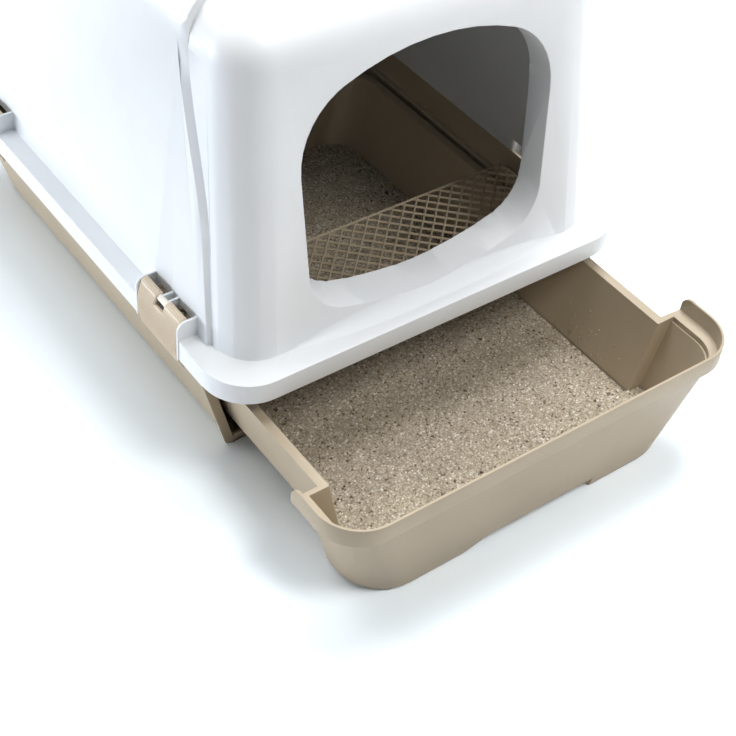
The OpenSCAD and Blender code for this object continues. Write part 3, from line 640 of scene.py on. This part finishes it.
# %% Litter bed
WAVE_MM = 1.5
ROUGH_MM = 0.7
SINK_MM = 0.4
GRID_MM = 1.6
WIDE_WAVES, SHORT_WAVES = 14, 34  # per metre
CLOD_MM = 3.2
UPWARD = 0.7


def litter_height(x, y):
    """How far the bed's top is pushed up, in metres, at a place in metres."""
    wide = noise.noise(Vector((x * WIDE_WAVES, y * WIDE_WAVES, 3.1)))
    wide += 0.5 * noise.noise(Vector((x * SHORT_WAVES, y * SHORT_WAVES, 7.7)))
    fine = noise.noise(Vector((x, y, 0.5)) * per_metre(CLOD_MM))
    grain = noise.cell(Vector((x, y, 0)) * per_metre(GRAIN_MM)) - 0.5
    return (WAVE_MM * wide + ROUGH_MM * (grain + fine) - SINK_MM) * MM


litter = merged_copy("litter_bed", "litter_bed_grains")
use_modifier(litter, "REMESH", mode="VOXEL", voxel_size=GRID_MM * MM)
low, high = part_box("litter_bed")
half_way = (low.z + high.z) / 2
top = [c for c in litter.data.vertices if c.normal.z > UPWARD and c.co.z > half_way]
for corner in top:
    corner.co.z += litter_height(corner.co.x, corner.co.y)
print("corners on the bed's top:", len(top))

# %% [markdown]
# Nobody sees the underside, which rests on the drawer's floor, so its thousands of squares
# are deleted and the hole is closed with one face.

# %% Underside of the bed
DOWNWARD = -0.95
SKIN_MM = 1.2
LITTER_SMOOTH = math.radians(60)
only(litter)
bpy.ops.object.mode_set(mode="EDIT")
bpy.ops.mesh.select_mode(type="FACE")
bpy.ops.mesh.select_all(action="DESELECT")
mesh = bmesh.from_edit_mesh(litter.data)
for face in mesh.faces:
    at_bottom = face.calc_center_median().z < low.z + SKIN_MM * MM
    face.select_set(face.normal.z < DOWNWARD and at_bottom)
bmesh.update_edit_mesh(litter.data)
bpy.ops.mesh.delete(type="FACE")
bpy.ops.mesh.select_mode(type="EDGE")
bpy.ops.mesh.select_all(action="DESELECT")
bpy.ops.mesh.select_non_manifold()
bpy.ops.mesh.edge_face_add()
bpy.ops.object.mode_set(mode="OBJECT")
bpy.ops.object.shade_smooth_by_angle(angle=LITTER_SMOOTH)
print("the bed has", len(litter.data.polygons), "faces")

# %% [markdown]
# ## Loose grains
# Digging leaves single grains on top of the bed, and throws some against the wall on the
# right. Each is a small icosphere, squashed and turned at random, that is set where a ray
# meets the bed or the wall. They are joined to the bed. A few damp lumps are darker. A ray
# finds the real height of the waved bed, so no grain floats over it or is lost in it.

# %% A grain of litter
dice = random.Random(11)
SQUASH = (0.65, 1.1)
ABOVE_BED_MM = 20
DOWN, RIGHT = Vector((0, 0, -1)), Vector((1, 0, 0))


def add_grain(place, size_mm):
    bpy.ops.mesh.primitive_ico_sphere_add(
        subdivisions=1, radius=size_mm / 2 * MM, location=place,
        rotation=[dice.uniform(0, math.tau) for _ in range(3)],
        scale=[dice.uniform(*SQUASH) for _ in range(3)])
    return bpy.context.object


def on_bed():
    """A place on top of the bed, or None where the ray misses it."""
    x = dice.uniform(low.x, high.x)
    y = dice.uniform(low.y, high.y)
    hit, place, _, _ = litter.ray_cast(Vector((x, y, high.z + ABOVE_BED_MM * MM)), DOWN)
    return place if hit else None


def on_wall():
    """A place on the right wall, most of them low down and near the hood."""
    y = dice.triangular(-335, -235, -262) * MM
    z = high.z + dice.triangular(-4, 34, -2) * MM
    hit, place, _, _ = drawer.ray_cast(Vector((0.1, y, z)), RIGHT)
    return place if hit else None


def scatter(tries, find_place, smallest_mm, largest_mm):
    """Adds a grain at each place that a ray finds."""
    found = []
    for _ in range(tries):
        place = find_place()
        if place is not None:
            found.append(add_grain(place, dice.uniform(smallest_mm, largest_mm)))
    return found


print("a grain is squashed to between", SQUASH[0], "and", SQUASH[1], "of its size")

# %% Loose grains
BED_TRIES, WALL_TRIES, LUMP_TRIES = 520, 46, 18
bpy.context.view_layer.update()
grains = scatter(BED_TRIES, on_bed, 1.2, 2.3)
grains += scatter(WALL_TRIES, on_wall, 1.1, 1.9)
lumps = scatter(LUMP_TRIES, on_bed, 2.6, 4.2)
join([litter, *grains])
join(lumps)
only(lumps[0])
lumps[0].name = "litter_lumps"
bpy.ops.object.transform_apply()
damp_clay = litter_material("damp_clay", ("#4A3E30", "#5B4D3D", "#6E5F4D"))
lumps[0].data.materials.append(damp_clay)
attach(lumps[0], "drawer")
stand_in(litter, "litter_bed", clay)
print("loose grains:", len(grains), "lumps:", len(lumps))
print("litter faces:", len(litter.data.polygons), "top at", round(high.z / MM, 1), "mm")

# %% [markdown]
# ## Floor and light
# The box stands on a pale floor in soft studio light. The camera and the glossy plastic see
# white paper all round, but to other light the room is nearly dark: that keeps the shadows
# of the five lamps on the floor.

# %% Floor and lights


def background_rays(tree):
    """1 for rays that show the background: seen, mirrored or let through, and 0 for others."""
    ray = add_node(tree, "ShaderNodeLightPath")
    direct = add_node(tree, "ShaderNodeMath", {0: ray.outputs["Is Camera Ray"],
                                               1: ray.outputs["Is Glossy Ray"]},
                      operation="MAXIMUM")
    either = add_node(tree, "ShaderNodeMath", {0: direct.outputs["Value"],
                                               1: ray.outputs["Is Transmission Ray"]},
                      operation="MAXIMUM")
    return either.outputs["Value"]


FLOOR_RADIUS = 1.3  # metres: past that the lamps would leave it grey
bpy.ops.mesh.primitive_circle_add(vertices=96, radius=FLOOR_RADIUS, fill_type="NGON")
floor = bpy.context.object
floor.name = "studio_floor"
floor_material, tree, shader, place = new_material("white_paper_floor")
paper = add_node(tree, "ShaderNodeMix", {"Factor": background_rays(tree)}, data_type="RGBA")
paper.inputs["A"].default_value = linear("#F2F2F2")
paper.inputs["B"].default_value = (1.10, 1.21, 1.31, 1)  # over 1, so lit paper is pure white
tree.links.new(paper.outputs["Result"], shader.inputs["Base Color"])
shader.inputs["Roughness"].default_value = 0.9
shader.inputs["Specular IOR Level"].default_value = 0.0
floor.data.materials.append(floor_material)
print("floor radius in metres:", FLOOR_RADIUS)

# %% The room
world = bpy.data.worlds.new("soft_room")
bpy.context.scene.world = world
world.use_nodes = True
ROOM_GLOW = 0.10
room = world.node_tree
sky = room.nodes["Background"]
tint = add_node(room, "ShaderNodeMix", {"Factor": background_rays(room)}, data_type="RGBA")
tint.inputs["A"].default_value = [ROOM_GLOW * part for part in linear("#E2EAF5")[:3]] + [1]
tint.inputs["B"].default_value = (1, 1, 1, 1)
room.links.new(tint.outputs["Result"], sky.inputs["Color"])
print("glow of the room:", ROOM_GLOW)

# %% [markdown]
# ## Lamps
# Two large softboxes overhead give the main light and its soft shadows. A long low one at the
# back left whitens the left side panel. One high in front and a weak low one at the front
# right open up the front, which gets lighter towards the right.

# %% Lamps


def add_softbox(name, place, target, width, height, power, colour):
    """Adds an area lamp, in metres and watts, that looks at its target."""
    lamp = bpy.data.lights.new(name, "AREA")
    lamp.shape = "RECTANGLE"
    lamp.size, lamp.size_y, lamp.energy = width, height, power
    lamp.color = linear(colour)[:3]
    holder = bpy.data.objects.new(name, lamp)
    bpy.context.scene.collection.objects.link(holder)
    holder.location = place
    holder.rotation_euler = (Vector(target) - Vector(place)).to_track_quat("-Z", "Y").to_euler()
    return holder


add_softbox("overhead_right", (0.6, 0.25, 1.9), (0, -0.1, 0.1), 1.0, 1.0, 36, "#FFFFFF")
add_softbox("overhead_left", (-0.5, 0.65, 1.9), (0, -0.1, 0.1), 1.2, 1.2, 16, "#FFFFFF")
add_softbox("left_back_low", (-1.85, 1.3, 0.15), (0, -0.05, 0.16), 1.6, 0.28, 42, "#F2F8FF")
add_softbox("high_front", (0.2, -1.2, 1.75), (0, -0.2, 0.1), 0.6, 0.6, 17, "#FFFCF6")
add_softbox("right_front_low", (0.85, -1.05, 0.4), (0.17, -0.35, 0.12), 0.4, 0.4, 2.6, "#FFFFFF")

# %% Finish
bpy.context.scene.view_settings.view_transform = "Standard"
